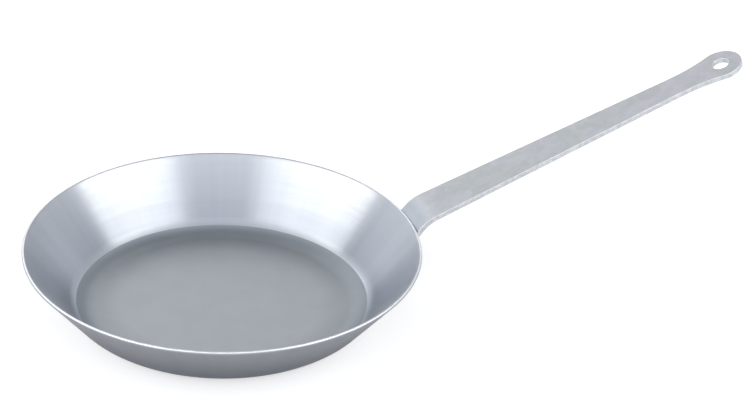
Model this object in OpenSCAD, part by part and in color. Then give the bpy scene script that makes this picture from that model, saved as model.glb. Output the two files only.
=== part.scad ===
// Long-handled steel frying pan. Millimetres, +Z up.
// The origin is the centre of the underside, on the plane the pan stands on.
// The handle points along +X and rises away from the rim.

/* [Pan] */
// Outermost diameter of the rim
rim_d = 300; // [240:1:380]
// Diameter where the lines of the outer wall and the underside would meet
base_d = 218; // [160:1:236]
// Height of the rim above the underside
pan_h = 51; // [40:1:80]
// Thickness of the pressed sheet
sheet = 2.5; // [1.5:0.1:4]
// Outside radius of the corner between the base and the wall
corner_r = 28; // [8:1:34]

/* [Handle] */
// Thickness of the handle's flat bar
bar_t = 4; // [2.5:0.1:6]
// Width of the bar through its bend
bend_w = 36.4; // [28:0.2:46]
// Width of the foot at its lower end
foot_w = 40; // [30:1:52]
// Radius of the foot's two lower corners
foot_corner_r = 8; // [2:0.5:12]
// Width that the taper reaches under the centre of the eye
neck_w = 21.2; // [16:0.2:27]
// Slope of the handle above level
rise = 20.3; // [5:0.1:35]
// Radius of the bend, on its upper face
bend_r = 30; // [12:1:40]
// Straight length from the rim to the start of the bend
bend_lead = 3.9; // [1:0.1:20]
// Length from the end of the bend to the centre of the eye
shank_l = 255.5; // [150:0.5:340]
// Diameter of the eye at the end of the handle
eye_d = 33.8; // [28:0.2:48]
// Diameter of the hole for hanging
hole_d = 13.2; // [6:0.1:20]
// Radius of the curve from the shank into the eye
neck_r = 120; // [10:1:160]

/* [Welds] */
// Length of each leg of a weld, along the bar's edge and along the wall
weld_leg = 3; // [1.5:0.1:3.8]
// Distance from the rim down to the top of the side welds
weld_drop = 5; // [3.5:0.5:14]
// Distance from the corner curve up to the lower end of the foot
foot_margin = 5; // [4:0.5:14]
// Gap left between the bar and the wall when the handle is set in place
fit_up = 0.1; // [0.05:0.01:0.4]

/* [Hidden] */
$fn = 240;
arc_steps = 18;      // straight pieces in each curve of an outline
past = 1;            // how far a cutting solid runs past the face it cuts
half_sheet = sheet / 2;

// The rim is a full round. Its centre, and the slope of the wall below it.
round_x = rim_d / 2 - half_sheet;
round_z = pan_h - half_sheet;
reach_x = round_x - base_d / 2;
slope = atan2(round_z, reach_x) - asin(half_sheet / norm([reach_x, round_z]));

// Centre of the corner's two concentric curves, and the top of the outer one
corner_x = base_d / 2 - corner_r * tan(slope / 2);
wall_foot_x = corner_x + corner_r * sin(slope);
wall_foot_z = corner_r * (1 - cos(slope));

// Where the outer wall ends against the round of the rim
wall_top_x = round_x + half_sheet * sin(slope);
wall_top_z = round_z - half_sheet * cos(slope);
wall_l = (wall_top_z - wall_foot_z) / sin(slope);

// Start of the bend on the bar's upper face, and the bend's centre below it
bend_x = wall_top_x + bend_lead * cos(slope) + fit_up * sin(slope);
bend_z = wall_top_z + bend_lead * sin(slope) - fit_up * cos(slope);
bend_centre_x = bend_x + bend_r * sin(slope);
bend_centre_z = bend_z - bend_r * cos(slope);
foot_l = wall_l + bend_lead - foot_margin;
shank_start = [bend_centre_x - bend_r * sin(rise), bend_centre_z + bend_r * cos(rise)];
mid_bend = bend_r * sin((slope - rise) / 2) + past;   // both outlines reach past the bend's middle

// Points on an arc about c, from angle a to angle b
function arc(c, r, a, b, n = arc_steps) =
    [for (i = [0:n]) c + r * [cos(a + (b - a) * i / n), sin(a + (b - a) * i / n)]];

function mirrored(points) = [for (i = [len(points) - 1:-1:0]) [points[i][0], -points[i][1]]];

// Half of the pan's section: underside, outer corner, wall, rim, wall, inner corner, floor
function pan_section() = concat(
    [[0, 0]],
    arc([corner_x, corner_r], corner_r, -90, slope - 90),
    arc([round_x, round_z], half_sheet, slope - 90, slope + 90),
    arc([corner_x, corner_r], corner_r - sheet, slope - 90, -90),
    [[0, sheet]]
);

module pan_body() {
    color([0.72, 0.74, 0.77])
        rotate_extrude()
            polygon(pan_section());
}

// Places a child in the plane of the bar's upper face, X along the bar, at the start of the bend
module at_foot() {
    translate([bend_x, 0, bend_z])
        rotate([0, -slope, 0])
            children();
}

// The same at the far end of the bend
module at_shank() {
    translate([shank_start[0], 0, shank_start[1]])
        rotate([0, -rise, 0])
            children();
}

// The bar seen from the side, longer than it will be at the eye
module bar_side() {
    centre = [bend_centre_x, bend_centre_z];
    up_wall = [cos(slope), sin(slope)];
    up_shank = [cos(rise), sin(rise)];
    upper = arc(centre, bend_r, 90 + slope, 90 + rise);
    lower = arc(centre, bend_r - bar_t, 90 + rise, 90 + slope);
    long = shank_l + eye_d;
    polygon(concat([upper[0] - foot_l * up_wall], upper, [shank_start + long * up_shank],
        [lower[0] + long * up_shank], lower, [lower[len(lower) - 1] - foot_l * up_wall]));
}

module foot_outline() {
    corner = [foot_corner_r - foot_l, foot_w / 2 - foot_corner_r];
    edge = concat(arc(corner, foot_corner_r, 180, 90),
        [[0, bend_w / 2], [mid_bend + past, bend_w / 2]]);
    polygon(concat(edge, mirrored(edge)));
}

// Edge of the shank: a straight taper, a hollow curve, then round the eye
function shank_edge() =
    let (taper = atan((bend_w - neck_w) / 2 / shank_l))
    let (along = [cos(taper), -sin(taper)])
    let (out = [sin(taper), cos(taper)])
    let (eye = [shank_l, 0])
    let (edge_out = bend_w / 2 * cos(taper))
    let (side = edge_out + neck_r - eye * out)
    let (back = sqrt(pow(neck_r + eye_d / 2, 2) - pow(side, 2)))
    let (neck = (eye * along - back) * along + (edge_out + neck_r) * out)
    let (to_eye = atan2(-neck[1], shank_l - neck[0]))
    concat([[-mid_bend - past, bend_w / 2], [0, bend_w / 2]],
        arc(neck, neck_r, -90 - taper, to_eye), arc(eye, eye_d / 2, to_eye + 180, 0));

module shank_outline() {
    polygon(concat(shank_edge(), mirrored(shank_edge())));
}

// What is trimmed off the sides of the bar: a block from x1 to x2, less the outline to keep
module trimmings(x1, x2) {
    translate([0, 0, -bend_r])
        linear_extrude(bend_r + bar_t)
            difference() {
                translate([x1, -foot_w])
                    square([x2 - x1, 2 * foot_w]);
                children();
            }
}

module handle() {
    color([0.74, 0.76, 0.79])
        difference() {
            rotate([90, 0, 0])
                linear_extrude(foot_w, center = true)
                    bar_side();
            at_foot()
                trimmings(-foot_l - past, mid_bend)
                    foot_outline();
            at_shank()
                trimmings(-mid_bend, shank_l + 2 * eye_d)
                    shank_outline();
            at_shank()
                translate([shank_l, 0, -bar_t - past])
                    cylinder(h = bar_t + 2 * past, d = hole_d);
        }
}

// A weld of length run along +X, in the angle between the bar's edge at Y = 0 and the wall above
module weld(run) {
    section = concat(arc([0, 0], weld_leg, -90, 0), [[weld_leg, bar_t], [0, bar_t]]);
    rotate([90, 0, 90])
        linear_extrude(run)
            polygon(section);
}

// Takes the space inside the outer wall away from what is drawn at the foot. The cone runs on
// past the rim, so that nothing is left above it.
module against_wall() {
    cone_top_z = wall_top_z + bar_t;
    cone_top_x = wall_top_x + bar_t / tan(slope);
    difference() {
        at_foot()
            children();
        translate([0, 0, wall_foot_z])
            cylinder(h = cone_top_z - wall_foot_z, r1 = wall_foot_x, r2 = cone_top_x);
    }
}

// The weld down the foot's edge on +Y
module side_weld() {
    straight = foot_l - foot_corner_r;
    flare = (foot_w - bend_w) / 2 / straight;
    top = bend_lead + weld_drop;
    run = (straight - top) / cos(atan(flare));
    against_wall()
        translate([-top, bend_w / 2 + flare * top, 0])
            rotate([0, 0, 180 - atan(flare)])
                mirror([0, 1, 0])
                    weld(run);
}

module weld_left() {
    color([0.55, 0.55, 0.56])
        side_weld();
}

module weld_right() {
    color([0.55, 0.55, 0.56])
        mirror([0, 1, 0])
            side_weld();
}

// The weld across the lower end of the foot, between its corners
module weld_foot() {
    run = foot_w - 2 * foot_corner_r;
    color([0.55, 0.55, 0.56])
        against_wall()
            translate([-foot_l, -run / 2, 0])
                rotate([0, 0, 90])
                    weld(run);
}

pan_body();
handle();
weld_left();
weld_right();
weld_foot();
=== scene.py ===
import math
import bpy
import numpy as np
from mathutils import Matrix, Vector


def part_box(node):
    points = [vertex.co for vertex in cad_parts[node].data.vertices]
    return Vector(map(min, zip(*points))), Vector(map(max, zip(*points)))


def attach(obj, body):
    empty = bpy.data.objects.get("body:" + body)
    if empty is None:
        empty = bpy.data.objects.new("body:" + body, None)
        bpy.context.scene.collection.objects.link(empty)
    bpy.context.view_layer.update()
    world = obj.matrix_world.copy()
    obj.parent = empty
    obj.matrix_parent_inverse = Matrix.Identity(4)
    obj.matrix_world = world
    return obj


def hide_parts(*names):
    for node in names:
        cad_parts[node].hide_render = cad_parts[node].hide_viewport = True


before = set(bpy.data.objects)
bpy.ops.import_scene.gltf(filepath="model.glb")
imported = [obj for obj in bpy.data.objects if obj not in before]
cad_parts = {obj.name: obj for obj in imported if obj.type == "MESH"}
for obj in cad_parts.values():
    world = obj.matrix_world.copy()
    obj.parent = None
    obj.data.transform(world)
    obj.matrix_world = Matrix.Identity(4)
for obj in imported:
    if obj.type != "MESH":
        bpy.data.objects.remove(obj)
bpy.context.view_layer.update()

# ---------------------------------------------------------------- camera and studio
# The pan stands on a pale table in a white studio. The camera looks down on it from the
# side, with the handle running away to the right, through a long lens.
VIEW_TURN = math.radians(-17.62)    # how far the camera stands round from square to the handle
VIEW_UP = math.radians(30.07)       # how far it looks down on the rim
VIEW_DISTANCE = 2.1                 # metres from the middle of the rim
PAN_LEFT = math.radians(3.563)      # the lens is aimed to the right of the rim's middle
TILT = math.radians(29.13)          # how far the lens is aimed below level
ROLL = math.radians(-2.42)          # how far the camera leans about its aim
LENS = 134.03                       # millimetres, on a 36 mm frame

rim_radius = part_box("pan_body")[1].y
rim_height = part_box("pan_body")[1].z


def turned(v, angle):
    """The vector v turned about the upright axis by angle."""
    c, s = math.cos(angle), math.sin(angle)
    return np.array([c * v[0] - s * v[1], s * v[0] + c * v[1], v[2]])


def way_to(azimuth, elevation):
    """The unit vector to something that many degrees right of straight ahead and above level."""
    a, e = math.radians(azimuth), math.radians(elevation)
    return turned([math.sin(a) * math.cos(e), math.cos(a) * math.cos(e), math.sin(e)], VIEW_TURN)


def frame_of(right, up, back, place):
    """A world matrix with those three unit axes as its columns, at place, as the plain list of
    columns that matrix_world takes."""
    matrix = np.vstack([np.column_stack([right, up, back, place]), [0, 0, 0, 1]])
    return matrix.T.tolist()


eye = turned(VIEW_DISTANCE * np.array([0, -math.cos(VIEW_UP), math.sin(VIEW_UP)]), VIEW_TURN)
eye = eye + np.array([0, 0, rim_height])
aim = turned([math.sin(PAN_LEFT) * math.cos(TILT), math.cos(PAN_LEFT) * math.cos(TILT),
              -math.sin(TILT)], VIEW_TURN)
level = turned([math.cos(PAN_LEFT), -math.sin(PAN_LEFT), 0], VIEW_TURN)
upright = np.cross(level, aim)
right = math.cos(ROLL) * level - math.sin(ROLL) * upright
up = math.sin(ROLL) * level + math.cos(ROLL) * upright

lens = bpy.data.cameras.new("camera")
lens.lens = LENS
lens.sensor_width = 36
lens.clip_end = 50
camera = bpy.data.objects.new("camera", lens)
camera.matrix_world = frame_of(right, up, -aim, eye)
bpy.context.scene.collection.objects.link(camera)
bpy.context.scene.camera = camera
bpy.context.scene.view_settings.view_transform = "Standard"


def linear(hex_colour):
    """An sRGB hex colour as linear red, green, blue and full alpha."""
    srgb = np.array([int(hex_colour[i:i + 2], 16) for i in (1, 3, 5)]) / 255
    rgb = np.where(srgb <= 0.04045, srgb / 12.92, ((srgb + 0.055) / 1.055) ** 2.4)
    return (*rgb.tolist(), 1.0)


def add(tree, kind, settings={}, **links):
    """Adds one node. settings are its own properties, or values for its sockets by number or
    name. links are sockets of other nodes to join to its sockets, by name, with a bar for a
    space, or by a bar and the socket's number."""
    node = tree.nodes.new(kind)
    for key, value in settings.items():
        if isinstance(key, str) and hasattr(node, key):
            setattr(node, key, value)
        else:
            node.inputs[key].default_value = value
    for key, source in links.items():
        socket = int(key[1:]) if key[1:].isdigit() else key.replace("_", " ")
        tree.links.new(source, node.inputs[socket])
    return node


def softbox(name, azimuth, elevation, distance, width, height, power):
    """A rectangular studio light that hangs in that direction from the rim and faces it. The
    direction is in degrees, the lengths are in metres and the power is in watts."""
    light = bpy.data.lights.new(name, "AREA")
    light.shape = "RECTANGLE"
    light.size = width
    light.size_y = height
    light.energy = power
    light.color = linear("#fffcf8")[:3]
    back = way_to(azimuth, elevation)
    side = way_to(azimuth + 90, 0)
    lamp = bpy.data.objects.new(name, light)
    place = distance * back + np.array([0, 0, rim_height])
    lamp.matrix_world = frame_of(side, np.cross(back, side), back, place)
    bpy.context.scene.collection.objects.link(lamp)


softbox("softbox_right", 112, 39, 1.8, 1.9, 0.9, 11.2)
softbox("softbox_left", -113, 37, 1.8, 2.45, 0.9, 14.2)
softbox("softbox_back", -12, 37, 2.2, 1.7, 1.0, 7.5)

# Pale walls, brighter in front, a lit white flat behind on the left, and an unlit ceiling.
# Each is a level of light for every direction in which the metal may look.
world = bpy.data.worlds.new("studio")
bpy.context.scene.world = world
world.use_nodes = True
sky = world.node_tree
way = add(sky, "ShaderNodeTexCoord").outputs["Generated"]


def sky_toward(azimuth, elevation):
    """The cosine of the angle between each part of the sky and that direction."""
    ahead = way_to(azimuth, elevation).tolist()
    return add(sky, "ShaderNodeVectorMath", {"operation": "DOT_PRODUCT", 1: ahead},
               _0=way).outputs["Value"]


def sky_patch(azimuth, elevation, edge, core, outside, inside):
    """A number over the sky that eases from outside to inside, between edge and core degrees
    from that direction."""
    return add(sky, "ShaderNodeMapRange", {"interpolation_type": "SMOOTHSTEP",
               "From Min": math.cos(math.radians(edge)), "From Max": math.cos(math.radians(core)),
               "To Min": outside, "To Max": inside},
               Value=sky_toward(azimuth, elevation)).outputs["Result"]


walls = add(sky, "ShaderNodeMapRange", {"From Min": -0.6, "From Max": 0.9, "To Min": 0.75,
            "To Max": 1.5}, Value=sky_toward(180, 30)).outputs["Result"]
ceiling = sky_patch(0, 65, 42, 12, 1.0, 0.2)
flat = sky_patch(-46, 12, 36, 10, 0, 0.22)
strength = add(sky, "ShaderNodeMath", {"operation": "MULTIPLY_ADD"}, _0=ceiling, _1=walls, _2=flat)
sky.nodes["Background"].inputs["Color"].default_value = linear("#e4e8ee")
sky.links.new(strength.outputs[0], sky.nodes["Background"].inputs["Strength"])

# A grey acrylic table lit from below: it looks white, but the metal mirrors only its grey face
TABLE_SIZE = 14
TABLE_DOWN = 0.0001                 # set a hair under the pan
TABLE_GLOW = 0.6
table_mesh = bpy.data.meshes.new("table")
half_table = TABLE_SIZE / 2
corners = [(-half_table, -half_table), (half_table, -half_table), (half_table, half_table),
           (-half_table, half_table)]
table_mesh.from_pydata([(x, y, -TABLE_DOWN) for x, y in corners], [], [(0, 1, 2, 3)])
table = bpy.data.objects.new("table", table_mesh)
bpy.context.scene.collection.objects.link(table)
acrylic = bpy.data.materials.new("lit_acrylic_sheet")
acrylic.use_nodes = True
sheet_tree = acrylic.node_tree
face = sheet_tree.nodes["Principled BSDF"]
face.inputs["Base Color"].default_value = linear("#bababa")
face.inputs["Roughness"].default_value = 0.9
face.inputs["Emission Color"].default_value = linear("#ffffff")
seen = add(sheet_tree, "ShaderNodeLightPath").outputs["Is Camera Ray"]
lit = add(sheet_tree, "ShaderNodeMath", {"operation": "MULTIPLY", 1: TABLE_GLOW},
          _0=seen).outputs[0]
sheet_tree.links.new(lit, face.inputs["Emission Strength"])
table_mesh.materials.append(acrylic)

# ---------------------------------------------------------------- pan
# One round of carbon steel sheet, pressed to a flat floor, a curved corner and a straight
# flared wall. The edge is rounded. The wall is ground on a turning fixture; the floor is not.
BASE_RADIUS = 0.109                 # where the outer wall's line meets the table
SHEET = 0.0025
CORNER_RADIUS = 0.028               # outside
GROUND_TO = math.radians(34)        # how far down the inner corner curve the grinding runs
AROUND = 288
RIM_BANDS = 14                      # round the edge, counted from the outside
DRESSED_FROM, DRESSED_TO = 6, 10    # the bands that face up: dressed bright, and so a painted highlight on top of the edge
SKIN_FROM = 13                      # the innermost band, which keeps its pickled skin

round_r = rim_radius - SHEET / 2
round_z = rim_height - SHEET / 2
reach = round_r - BASE_RADIUS
slope = math.atan2(round_z, reach) - math.asin(SHEET / 2 / math.hypot(reach, round_z))
corner_r = BASE_RADIUS - CORNER_RADIUS * math.tan(slope / 2)


def arc(centre, radius, start, end, steps):
    """Points on a circle about centre, from angle start to angle end."""
    a = np.linspace(start, end, steps + 1)
    return np.column_stack([centre[0] + radius * np.cos(a), centre[1] + radius * np.sin(a)])


def straight(start, end, steps):
    """Evenly spaced points from start to end."""
    return np.linspace(start, end, steps + 1)


def mesh_of(name, points, faces, finish=None):
    """A smooth-shaded mesh object from an array of points and a list of faces; finish is the
    number of the material on each face."""
    mesh = bpy.data.meshes.new(name)
    mesh.from_pydata(points.tolist(), [], [f.tolist() for f in faces])
    mesh.polygons.foreach_set("use_smooth", np.ones(len(mesh.polygons), bool))
    if finish is not None:
        mesh.polygons.foreach_set("material_index", np.asarray(finish, np.int32))
    mesh.update()
    piece = bpy.data.objects.new(name, mesh)
    bpy.context.scene.collection.objects.link(piece)
    return piece


def revolved(profile, around):
    """Points and faces of a solid of revolution. Each profile point (r, z) becomes a ring
    (r cos a, r sin a, z) for a from 0 to a full turn; the first and last points are on the
    axis, and each is one vertex with a fan of triangles."""
    a = np.linspace(0, 2 * np.pi, around, endpoint=False)
    rings = profile[1:-1]
    grid = np.stack([rings[:, :1] * np.cos(a), rings[:, :1] * np.sin(a),
                     np.repeat(rings[:, 1:], around, axis=1)], axis=-1).reshape(-1, 3)
    points = np.vstack([grid, [[0, 0, profile[0, 1]], [0, 0, profile[-1, 1]]]])
    i, j = np.meshgrid(np.arange(len(rings) - 1), np.arange(around), indexing="ij")
    k = (j + 1) % around
    quads = np.stack([i * around + j, i * around + k, (i + 1) * around + k,
                      (i + 1) * around + j], axis=-1).reshape(-1, 4)
    j = np.arange(around)
    k = (j + 1) % around
    top = (len(rings) - 1) * around
    first = np.stack([k, j, np.full(around, len(points) - 2)], axis=-1)
    last = np.stack([top + j, top + k, np.full(around, len(points) - 1)], axis=-1)
    return points, list(quads) + list(first) + list(last), len(rings) - 1


centre = (corner_r, CORNER_RADIUS)
inner_radius = CORNER_RADIUS - SHEET
down = -math.pi / 2
outside = np.vstack([
    straight((0, 0), (corner_r, 0), 24)[:-1],
    arc(centre, CORNER_RADIUS, down, down + slope, 24),
])
rim = arc((round_r, round_z), SHEET / 2, slope + down, slope - down, RIM_BANDS)
wall_out = straight(outside[-1], rim[0], 24)[1:-1]
ground_end = arc(centre, inner_radius, down + slope, down + GROUND_TO, 8)
wall_in = straight(rim[-1], ground_end[0], 24)[1:-1]
floor = np.vstack([arc(centre, inner_radius, down + GROUND_TO, down, 18)[1:],
                   straight((corner_r, SHEET), (0, SHEET), 24)[1:]])
profile = np.vstack([outside, wall_out, rim, wall_in, ground_end, floor])

points, faces, bands = revolved(profile, AROUND)
band_of = np.repeat(np.arange(bands), AROUND)
floor_from = len(outside) + len(wall_out) + len(rim) + len(wall_in) + len(ground_end) - 2
rim_from = len(outside) + len(wall_out) - 1
rim_band = band_of - rim_from
# Painted highlight, partly a real dressed edge: the upward bands of the edge take the bright metal
dressed = (rim_band >= DRESSED_FROM) & (rim_band < DRESSED_TO)
pickled = (rim_band >= SKIN_FROM) & (rim_band < RIM_BANDS) | (band_of >= floor_from)
finish = np.where(pickled, 1, np.where(dressed, 2, 0))
finish = np.concatenate([finish, np.zeros(AROUND), np.ones(AROUND)])
pan = mesh_of("steel_pan", points, faces, finish)
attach(pan, "root")
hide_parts("pan_body")


def new_material(name):
    """A material with only its Principled shader, its tree and that shader."""
    material = bpy.data.materials.new(name)
    material.use_nodes = True
    return material, material.node_tree, material.node_tree.nodes["Principled BSDF"]


def mixed(tree, low, high, amount):
    """A colour between two hex colours, by a socket that runs from 0 to 1."""
    mix = add(tree, "ShaderNodeMix", {"data_type": "RGBA"})
    mix.inputs[6].default_value = linear(low)
    mix.inputs[7].default_value = linear(high)
    tree.links.new(amount, mix.inputs[0])
    return mix.outputs[2]


def ranged(tree, value, from_low, from_high, to_low, to_high):
    """A value remapped and held inside its new range."""
    node = add(tree, "ShaderNodeMapRange", {"From Min": from_low, "From Max": from_high,
               "To Min": to_low, "To Max": to_high}, Value=value)
    return node.outputs["Result"]


def noise(tree, vector, scale, detail):
    """A soft noise on a vector, from about 0.25 to 0.75, with scale patches to its unit. On
    Object coordinates that is scale to a metre."""
    return add(tree, "ShaderNodeTexNoise", {"Scale": scale, "Detail": detail},
               Vector=vector).outputs["Fac"]


def flattened(tree, place):
    """A place with its height taken away, and its distance from the pan's axis."""
    level_place = add(tree, "ShaderNodeVectorMath", {"operation": "MULTIPLY", 1: (1, 1, 0)},
                      _0=place).outputs[0]
    radius = add(tree, "ShaderNodeVectorMath", {"operation": "LENGTH"}, _0=level_place)
    return level_place, radius.outputs["Value"]


def multiplied(tree, colour, by):
    """A colour times another."""
    mix = add(tree, "ShaderNodeMix", {"data_type": "RGBA", "blend_type": "MULTIPLY", 0: 1.0},
              _6=colour, _7=by)
    return mix.outputs[2]


# Carbon steel ground with a belt while the pan turns: a silver white metal whose fine lines run
# round the pan, so a light smears up and down the wall. The lines are some 0.2 mm apart; they
# are drawn 0.6 mm apart, with broader bands of 4 to 5 mm, so that they show.
DULL_TO, BRIGHT_FROM = 0.083, 0.135  # up the slant: painted shade at its darkest up to here, and gone from here
BAND_FROM = 0.0757                  # up the slant: where the grinding stops, in the corner; the painted highlight is full below here
ground_steel, tree, shader = new_material("belt_ground_carbon_steel")
place = add(tree, "ShaderNodeTexCoord").outputs["Object"]
level_place, radius = flattened(tree, place)
height = add(tree, "ShaderNodeSeparateXYZ", Vector=place).outputs["Z"]
out_part = add(tree, "ShaderNodeMath", {"operation": "MULTIPLY", 1: math.cos(slope)}, _0=radius)
slant = add(tree, "ShaderNodeMath", {"operation": "MULTIPLY_ADD", 1: math.sin(slope)}, _0=height,
            _2=out_part.outputs[0]).outputs[0]
# Lines in millimetres up the slant, that waver only slowly on the way round
slow_place = add(tree, "ShaderNodeVectorMath", {"operation": "SCALE", "Scale": 8}, _0=level_place)
slow = add(tree, "ShaderNodeSeparateXYZ", Vector=slow_place.outputs[0]).outputs
slant_mm = add(tree, "ShaderNodeMath", {"operation": "MULTIPLY", 1: 1000}, _0=slant).outputs[0]
round_lines = add(tree, "ShaderNodeCombineXYZ", X=slow["X"], Y=slow["Y"], Z=slant_mm).outputs[0]
fine = noise(tree, round_lines, 1.6, 4)
broad = noise(tree, round_lines, 0.22, 2)
# Faint streaks straight up the wall, some 14 mm apart at the rim
spoke = add(tree, "ShaderNodeVectorMath", {"operation": "NORMALIZE"}, _0=level_place).outputs[0]
streak = noise(tree, spoke, 11, 5)
worn = add(tree, "ShaderNodeMath", {"operation": "MULTIPLY_ADD", 1: 0.5}, _0=fine, _2=streak)
silver = mixed(tree, "#c1c4ca", "#c9ccd1", ranged(tree, worn.outputs[0], 0.5, 1.0, 0, 1))
# Painted shade: the lower wall is painted darker than the upper, toward the corner,
shine = mixed(tree, "#dcdee1", "#ffffff", ranged(tree, slant, DULL_TO, BRIGHT_FROM, 0, 1))
# and a band of painted highlight runs round where the grinding stops
band = add(tree, "ShaderNodeMix", {"data_type": "RGBA", 7: linear("#dcdfe4")},
           _0=ranged(tree, slant, BAND_FROM, DULL_TO, 0.4, 0), _6=multiplied(tree, silver, shine))
tree.links.new(band.outputs[2], shader.inputs["Base Color"])
tree.links.new(ranged(tree, broad, 0.3, 0.7, 0.29, 0.33), shader.inputs["Roughness"])
bump = add(tree, "ShaderNodeBump", {"Strength": 0.04, "Distance": 0.0002}, Height=fine)
tree.links.new(bump.outputs["Normal"], shader.inputs["Normal"])
shader.inputs["Metallic"].default_value = 1.0
shader.inputs["Anisotropic"].default_value = 0.85
shader.inputs["Anisotropic Rotation"].default_value = 0.25    # smears across the lines
tangent = add(tree, "ShaderNodeTangent", {"direction_type": "RADIAL", "axis": "Z"})
tree.links.new(tangent.outputs["Tangent"], shader.inputs["Tangent"])
pan.data.materials.append(ground_steel)

# The same steel as it leaves the pickling bath: a matt blue grey, faintly cloudy over some
# 20 mm, with a fine even grain. The grain is drawn as coarse as 1 mm so that it shows.
SKIN_IN = 0.02                      # how far inside the corner the painted shade begins
SKIN_FULL = 0.105                   # the radius where the painted shade is darkest
pickled_steel, tree, shader = new_material("pickled_carbon_steel")
place = add(tree, "ShaderNodeTexCoord").outputs["Object"]
level_place, radius = flattened(tree, place)
cloud = noise(tree, place, 45, 3)
grain = noise(tree, place, 900, 2)
matt = mixed(tree, "#a6abb0", "#a9aeb3", ranged(tree, cloud, 0.35, 0.65, 0, 1))
# Painted shade: the floor is painted a little darker toward the corner and on its curve
skin = mixed(tree, "#ffffff", "#e6e8ea", ranged(tree, radius, corner_r - SKIN_IN, SKIN_FULL, 0, 1))
tree.links.new(multiplied(tree, matt, skin), shader.inputs["Base Color"])
tree.links.new(ranged(tree, grain, 0.3, 0.7, 0.46, 0.52), shader.inputs["Roughness"])
bump = add(tree, "ShaderNodeBump", {"Strength": 0.1, "Distance": 0.0002}, Height=grain)
tree.links.new(bump.outputs["Normal"], shader.inputs["Normal"])
shader.inputs["Metallic"].default_value = 1.0
pan.data.materials.append(pickled_steel)

# The edge of the sheet, dressed round and left bright, with faint nicks 4 mm apart. Where it faces
# up, its bright metal is also a painted highlight
bright_edge, tree, shader = new_material("dressed_steel_edge_and_highlight")
place = add(tree, "ShaderNodeTexCoord").outputs["Object"]
nick = noise(tree, place, 250, 3)
shader.inputs["Metallic"].default_value = 1.0
bright = mixed(tree, "#e9eaec", "#f8f8f9", ranged(tree, nick, 0.35, 0.65, 0, 1))
tree.links.new(bright, shader.inputs["Base Color"])
tree.links.new(ranged(tree, nick, 0.3, 0.7, 0.44, 0.54), shader.inputs["Roughness"])
pan.data.materials.append(bright_edge)

# ---------------------------------------------------------------- handle
# One flat bar of carbon steel, sheared to a long taper with a round eye, punched for a hook
# and bent so that its foot lies on the outside of the wall. The foot is welded there.
BAR = 0.004                         # thickness
BEND_WIDTH = 0.0364
FOOT_WIDTH = 0.040
FOOT_CORNER = 0.008
NECK_WIDTH = 0.0212                 # what the taper would reach under the eye's centre
RISE = math.radians(20.3)
BEND_RADIUS = 0.030                 # of the upper face
BEND_LEAD = 0.0039                  # straight, from the rim to the bend
SHANK = 0.2555                      # from the bend to the eye's centre
EYE_RADIUS = 0.0169
HOLE_RADIUS = 0.0066
NECK_RADIUS = 0.120                 # of the curve from the shank into the eye
FOOT_MARGIN = 0.005                 # from the corner curve up to the foot
FIT_UP = 0.0001                     # between the bar and the wall
EDGE_ROUND = 0.0006

up_wall = np.array([math.cos(slope), math.sin(slope)])
off_wall = np.array([math.sin(slope), -math.cos(slope)])
wall_foot = np.array(centre) + CORNER_RADIUS * off_wall
wall_top = np.array([round_r, round_z]) + SHEET / 2 * off_wall
foot_l = np.hypot(*(wall_top - wall_foot)) + BEND_LEAD - FOOT_MARGIN
bend_start = wall_top + BEND_LEAD * up_wall + FIT_UP * off_wall
bend_centre = bend_start + BEND_RADIUS * off_wall
bend_l = BEND_RADIUS * (slope - RISE)
taper = math.atan((BEND_WIDTH - NECK_WIDTH) / 2 / SHANK)


def bent(flat):
    """Bends the flat bar. Each row of flat is the length along the upper face from the start of
    the bend, the distance across, and the depth below that face. Before the bend the bar runs up
    the wall, round the bend its angle falls with length over radius, and then it runs at RISE."""
    s, across, depth = flat.T
    angle = slope - np.clip(s, 0, bend_l) / BEND_RADIUS
    beyond = s - np.clip(s, 0, bend_l)
    x = bend_centre[0] - (BEND_RADIUS - depth) * np.sin(angle) + beyond * np.cos(angle)
    z = bend_centre[1] + (BEND_RADIUS - depth) * np.cos(angle) + beyond * np.sin(angle)
    return np.column_stack([x, across, z])


# The neck's curve touches the taper and the round of the eye. All measured from the eye.
along = np.array([math.cos(taper), -math.sin(taper)])
outward = np.array([math.sin(taper), math.cos(taper)])
edge_out = BEND_WIDTH / 2 * math.cos(taper)
eye_flat = np.array([SHANK, 0])
side = edge_out + NECK_RADIUS - eye_flat @ outward
back = math.sqrt((NECK_RADIUS + EYE_RADIUS) ** 2 - side ** 2)
neck = (eye_flat @ along - back) * along + (edge_out + NECK_RADIUS) * outward - eye_flat
cut = neck - NECK_RADIUS * outward


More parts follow.
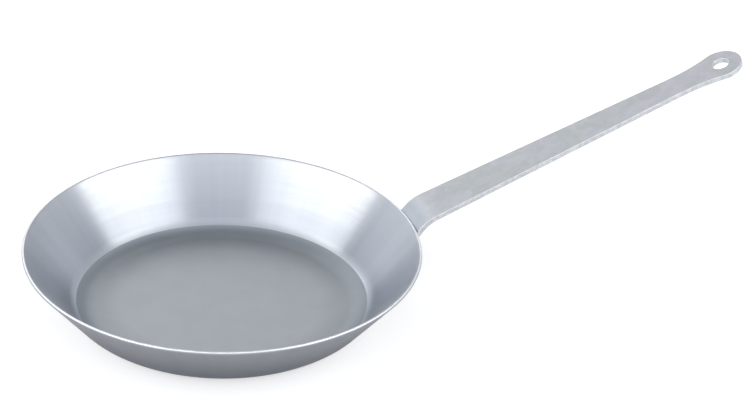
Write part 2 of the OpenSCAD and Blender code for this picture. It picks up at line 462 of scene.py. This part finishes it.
def handle_plan():
    """The flat outline filled with four-cornered faces, symmetric about the middle. A strip runs
    from the foot to where the taper ends, its width a function of length. From there rays from
    the eye's centre carry rings from the hole out to the round, the neck's curve or the cut."""
    v = np.linspace(-1, 1, 13)
    low = np.linspace(-math.pi / 2, 0, 7)[1:]
    foot_s = np.concatenate([[-foot_l], -foot_l + FOOT_CORNER * (1 + np.sin(low))])
    foot_half = FOOT_WIDTH / 2 - FOOT_CORNER + FOOT_CORNER * np.concatenate([[0], np.cos(low)])
    s = np.concatenate([foot_s, np.linspace(foot_s[-1], 0, 14)[1:], np.linspace(0, bend_l, 13)[1:],
                        bend_l + np.linspace(0, SHANK + cut[0], 70)[1:]])
    line = np.interp(s, [foot_s[-1], 0, bend_l, bend_l + SHANK + cut[0]],
                     [FOOT_WIDTH / 2, BEND_WIDTH / 2, BEND_WIDTH / 2, cut[1]])
    half = np.where(s < foot_s[-1], 0, line)
    half[:len(foot_half)] = foot_half
    strip = np.stack([np.repeat(s[:, None], len(v), axis=1), half[:, None] * v], axis=-1)

    touch = math.atan2(neck[1], neck[0])
    to_cut = math.atan2(cut[1], cut[0])
    upper = np.concatenate([np.linspace(0, touch, 25), np.linspace(touch, to_cut, 11)[1:]])
    at_cut = np.mod(np.arctan2(v[::-1] * cut[1], cut[0]), 2 * math.pi)
    turn = np.concatenate([upper, at_cut[1:-1], 2 * math.pi - upper[:0:-1]])
    ray = np.column_stack([np.cos(turn), np.sin(turn)])
    ahead = np.column_stack([ray[:, 0], np.abs(ray[:, 1])]) @ neck
    to_neck = ahead - np.sqrt(np.maximum(ahead ** 2 - neck @ neck + NECK_RADIUS ** 2, 0))
    angle = np.minimum(turn, 2 * math.pi - turn)
    reach = np.where(angle <= touch + 1e-9, EYE_RADIUS,
                     np.where(angle < to_cut, to_neck, cut[0] / ray[:, 0]))
    out = np.linspace(0, 1, 7)[:, None]
    rings = (HOLE_RADIUS + (reach - HOLE_RADIUS) * out)[..., None] * ray + [bend_l + SHANK, 0]

    n = len(v)
    i, j = np.meshgrid(np.arange(len(s) - 1), np.arange(n - 1), indexing="ij")
    strip_quads = np.stack([i * n + j, (i + 1) * n + j, (i + 1) * n + j + 1, i * n + j + 1],
                           axis=-1).reshape(-1, 4)
    n = len(turn)
    i, j = np.meshgrid(np.arange(len(out) - 1), np.arange(n), indexing="ij")
    k = (j + 1) % n
    ring_quads = np.stack([i * n + j, (i + 1) * n + j, (i + 1) * n + k, i * n + k],
                          axis=-1).reshape(-1, 4)
    flat = np.vstack([strip.reshape(-1, 2), rings.reshape(-1, 2)])
    quads = np.vstack([strip_quads, ring_quads + strip.size // 2])
    _, first, same = np.unique(np.round(flat, 7), axis=0, return_index=True, return_inverse=True)
    return flat[first], same.reshape(-1)[quads]


def thickened(flat, quads):
    """A slab from a flat outline: its faces on top, the same turned over at BAR below, and a
    wall under each edge that only one face uses."""
    top = np.column_stack([flat, np.zeros(len(flat))])
    under = np.column_stack([flat, np.full(len(flat), BAR)])
    edges = np.stack([quads, np.roll(quads, -1, axis=1)], axis=-1).reshape(-1, 2)
    key, count = np.unique(np.sort(edges, axis=1), axis=0, return_counts=True)
    single = {tuple(e) for e in key[count == 1].tolist()}
    rim_edges = np.array([e for e in edges.tolist() if tuple(sorted(e)) in single])
    walls = np.stack([rim_edges[:, 1], rim_edges[:, 0], rim_edges[:, 0] + len(flat),
                      rim_edges[:, 1] + len(flat)], axis=-1)
    return np.vstack([top, under]), np.vstack([quads, quads[:, ::-1] + len(flat), walls])


plan, plan_faces = handle_plan()
slab, slab_faces = thickened(plan, plan_faces)
on_edge = (np.arange(len(slab_faces)) >= 2 * len(plan_faces)).astype(int)
handle = mesh_of("steel_handle", bent(slab), list(slab_faces), on_edge)
edges = handle.modifiers.new("edges", "BEVEL")
edges.width = EDGE_ROUND
edges.segments = 3
edges.limit_method = "ANGLE"
edges.angle_limit = math.radians(50)
edges.harden_normals = True
edges.material = 1
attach(handle, "root")
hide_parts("handle")

# Hot-rolled flat bar after pickling: a smooth grey with soft greenish and lilac clouds some
# 20 mm across, paler patches of 13 mm, and scratches along it, drawn 0.7 mm wide so that they
# show. The foot and the bend are painted a plain pale grey, painted light that lifts the shade
# on the steep bend, which gives way to the clouds along the bend.
PALE_TO, PALE_OFF = 0.148, 0.170    # from the axis: painted light up to here, and clouded past here
bar_steel, tree, shader = new_material("pickled_hot_rolled_bar")
place = add(tree, "ShaderNodeTexCoord").outputs["Object"]
tint = noise(tree, place, 48, 2)
cloud = noise(tree, place, 75, 2)
stretched = add(tree, "ShaderNodeMapping", {"Rotation": (0, RISE, 0), "Scale": (0.06, 1, 1)},
                Vector=place).outputs[0]
scratch = noise(tree, stretched, 1500, 4)
shader.inputs["Metallic"].default_value = 1.0
hue = mixed(tree, "#aeb2b5", "#b4b5bc", ranged(tree, tint, 0.45, 0.55, 0, 1))
depth = mixed(tree, "#f0f1f2", "#ffffff", ranged(tree, cloud, 0.44, 0.56, 0, 1))
# Painted light: the foot and bend are painted pale against the shade on the steep bend
from_axis = add(tree, "ShaderNodeSeparateXYZ", Vector=place).outputs["X"]
paled = add(tree, "ShaderNodeMix", {"data_type": "RGBA", 6: linear("#c4c8cf")},
            _0=ranged(tree, from_axis, PALE_TO, PALE_OFF, 0, 1),
            _7=multiplied(tree, hue, depth))
tree.links.new(paled.outputs[2], shader.inputs["Base Color"])
tree.links.new(ranged(tree, cloud, 0.3, 0.7, 0.38, 0.5), shader.inputs["Roughness"])
bump = add(tree, "ShaderNodeBump", {"Strength": 0.12, "Distance": 0.0002}, Height=scratch)
tree.links.new(bump.outputs["Normal"], shader.inputs["Normal"])
handle.data.materials.append(bar_steel)

# Its sheared edges, dressed and rubbed bright, with faint marks 3 mm apart; their bright metal is
# also a painted highlight on the sides and rounds
bar_edge, tree, shader = new_material("dressed_bar_edge_and_highlight")
place = add(tree, "ShaderNodeTexCoord").outputs["Object"]
rub = noise(tree, place, 300, 3)
shader.inputs["Metallic"].default_value = 1.0
bright = mixed(tree, "#e4e6ea", "#f6f7f8", ranged(tree, rub, 0.35, 0.65, 0, 1))
tree.links.new(bright, shader.inputs["Base Color"])
tree.links.new(ranged(tree, rub, 0.3, 0.7, 0.42, 0.54), shader.inputs["Roughness"])
handle.data.materials.append(bar_edge)

# ---------------------------------------------------------------- welds
# Three beads of weld metal hold the foot to the wall: one down each side and one across its
# lower end. Each is a convex fillet laid in small overlapping ripples, left grey and dull.
WELD_LEG = 0.003
WELD_DROP = 0.005                   # from the rim down to the side welds
RIPPLE = 0.0016                     # from one ripple to the next
RIPPLE_TRAIL = 0.35                 # how far its middle lags, in ripples
RIPPLE_ROOT = 0.95                  # sizes from here on are parts of the leg: between ripples,
RIPPLE_SWELL = 0.06                 # the height of a ripple above that,
WANDER = 0.03                       # a slow swell,
WANDER_TURN = 900                   # in radians to a metre, so one every 7 mm,
END_SIZE = 0.25                     # and the size at both ends
FOOT_IN = 0.013                     # the middle of the foot lies this far inside the rim
wall_curve = (rim_radius - FOOT_IN) / math.sin(slope)   # radius of the wall across the foot


def weld_bead(name, start, end, outward_way):
    """A bead along the line from start to end on the foot's upper plane, outward_way pointing
    away from the bar. At each step the section is a quarter of an ellipse from the bar's edge
    to the wall; its size falls to a small cap at both ends and swells at every ripple, which
    trails back in a crescent."""
    run = np.hypot(*(end - start))
    t = np.linspace(0, run, 2 * int(run / RIPPLE * 4) + 1)
    a = np.linspace(0, math.pi / 2, 9)
    tt, aa = np.meshgrid(t, a, indexing="ij")
    lag = RIPPLE_TRAIL * RIPPLE * np.cos(2 * aa - math.pi / 2)
    phase = (tt + lag) / RIPPLE
    swell = RIPPLE_SWELL * np.abs(np.sin(math.pi * phase))
    ripple = RIPPLE_ROOT + swell + WANDER * np.sin(tt * WANDER_TURN + 1.3)
    near_end = np.minimum(tt, run - tt) / WELD_LEG
    cap = END_SIZE + (1 - END_SIZE) * np.sqrt(1 - (1 - np.clip(near_end, 0, 1)) ** 2)
    size = WELD_LEG * ripple * cap
    way = (end - start) / run
    foot = start + tt[..., None] * way
    across = size * np.sin(aa)
    spot = foot + across[..., None] * outward_way
    gap = FIT_UP + spot[..., 1] ** 2 / 2 / wall_curve
    depth = size * np.cos(aa) - gap * np.sin(aa)
    arc_part = np.concatenate([spot, depth[..., None]], axis=-1)
    inner = foot[:, :1] + 0.02 * size[:, :1, None] * outward_way
    inner_part = np.concatenate([inner, -gap[:, :1, None]], axis=-1)
    ring = np.concatenate([arc_part, inner_part], axis=1)
    rows, n = ring.shape[:2]
    i, j = np.meshgrid(np.arange(rows - 1), np.arange(n), indexing="ij")
    k = (j + 1) % n
    quads = np.stack([i * n + j, i * n + k, (i + 1) * n + k, (i + 1) * n + j],
                     axis=-1).reshape(-1, 4)
    ends = [np.arange(n)[::-1], (rows - 1) * n + np.arange(n)]
    if way[0] * outward_way[1] - way[1] * outward_way[0] < 0:
        quads, ends = quads[:, ::-1], [e[::-1] for e in ends]
    bead = mesh_of(name, bent(ring.reshape(-1, 3)), list(quads) + ends)
    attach(bead, "root")
    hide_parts(name.replace("bead", "weld"))
    return bead


side_top = np.array([-BEND_LEAD - WELD_DROP, 0])
flare = (FOOT_WIDTH - BEND_WIDTH) / 2 / (foot_l - FOOT_CORNER)
side_top[1] = BEND_WIDTH / 2 - flare * side_top[0]
side_low = np.array([FOOT_CORNER - foot_l, FOOT_WIDTH / 2])
side_out = np.array([-flare, 1]) / math.hypot(flare, 1) * [-1, 1]
corner_low = np.array([-foot_l, FOOT_WIDTH / 2 - FOOT_CORNER])
flip = np.array([1, -1])
beads = [weld_bead("bead_left", side_top, side_low, side_out),
         weld_bead("bead_right", side_top * flip, side_low * flip, side_out * flip),
         weld_bead("bead_foot", corner_low, corner_low * flip, np.array([-1.0, 0]))]

# Weld metal left as laid: dull grey, with straw and blue oxide in patches a few millimetres wide.
weld_steel, tree, shader = new_material("as_laid_weld_metal")
place = add(tree, "ShaderNodeTexCoord").outputs["Object"]
oxide = noise(tree, place, 160, 3)
pit = noise(tree, place, 1400, 3)
shader.inputs["Metallic"].default_value = 1.0
warm = mixed(tree, "#8c8c8c", "#9d978b", ranged(tree, oxide, 0.4, 0.65, 0, 1))
tree.links.new(warm, shader.inputs["Base Color"])
tree.links.new(ranged(tree, pit, 0.3, 0.7, 0.38, 0.6), shader.inputs["Roughness"])
bump = add(tree, "ShaderNodeBump", {"Strength": 0.3, "Distance": 0.0002}, Height=pit)
tree.links.new(bump.outputs["Normal"], shader.inputs["Normal"])
for bead in beads:
    bead.data.materials.append(weld_steel)
